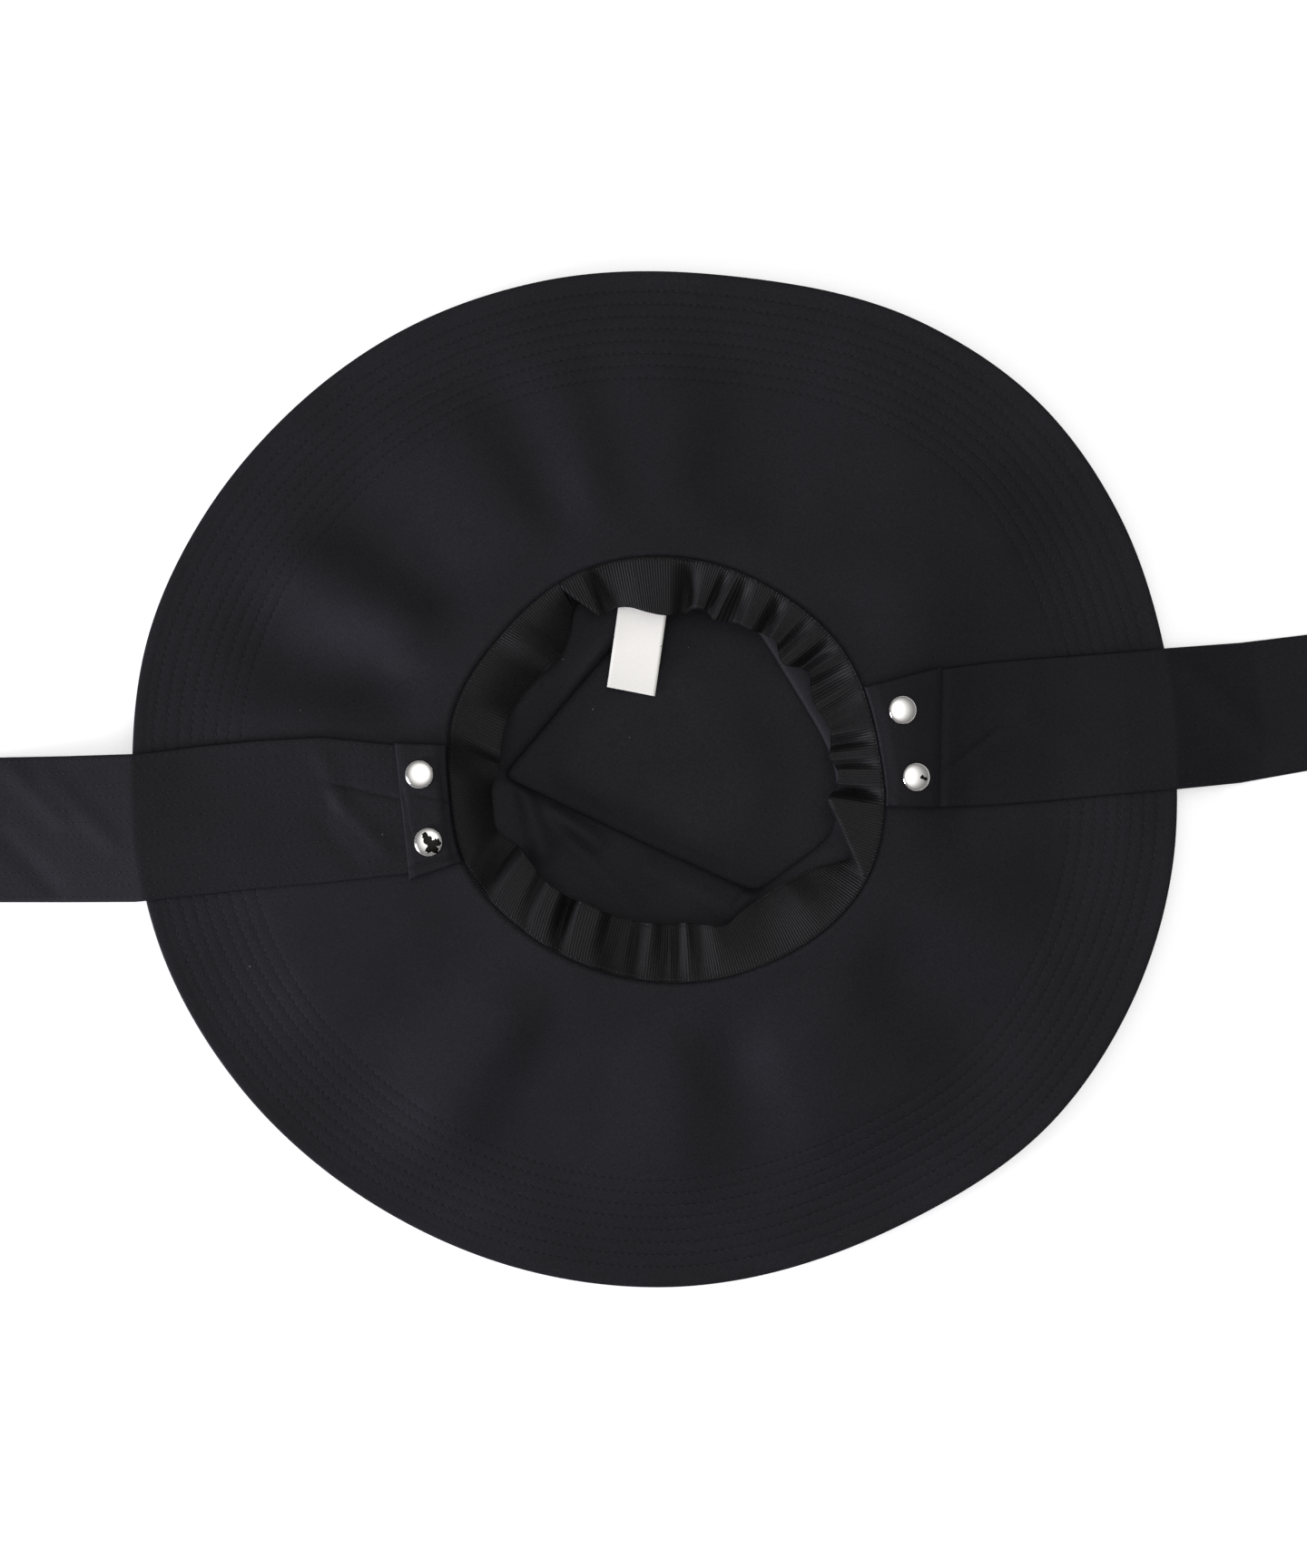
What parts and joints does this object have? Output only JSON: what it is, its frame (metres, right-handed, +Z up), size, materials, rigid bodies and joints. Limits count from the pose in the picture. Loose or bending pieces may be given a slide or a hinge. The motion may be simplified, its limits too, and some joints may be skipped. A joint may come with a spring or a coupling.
{
  "type": "sun hat",
  "caption": "Wide-brimmed cloth sun hat lying upside down on its crown, with a gathered sweatband and wide side ties held by snap tabs.",
  "frame": {"origin": "on the surface that the hat lies on, on the underside of the crown's tip, below the middle of the head opening", "axes": "+X to the right along the ties as seen from above with the tie tabs left and right, +Y away from the viewer, +Z up out of the head opening"},
  "size_m": [0.617, 0.4446, 0.0315],
  "materials": {
    "brim_cloth": "matt plain-woven cotton, two layers with a stitched border",
    "crown_cloth": "matt plain-woven cotton",
    "ribbon": "ribbed grosgrain ribbon with a soft sheen",
    "tie_cloth": "matt plain-woven cotton with close rows of stitching",
    "label_cloth": "bare white woven tape",
    "snap_metal": "bright plated steel"
  },
  "bodies": {
    "root": {"brim": "brim_cloth", "crown_side": "crown_cloth", "crown_tip": "crown_cloth", "sweatband": "ribbon", "label": "label_cloth", "tab_left": "tie_cloth", "tab_right": "tie_cloth", "tie_left": "tie_cloth", "tie_right": "tie_cloth", "snap_left_upper": "snap_metal", "snap_left_lower": "snap_metal", "snap_right_upper": "snap_metal", "snap_right_lower": "snap_metal"}
  },
  "joints": []
}
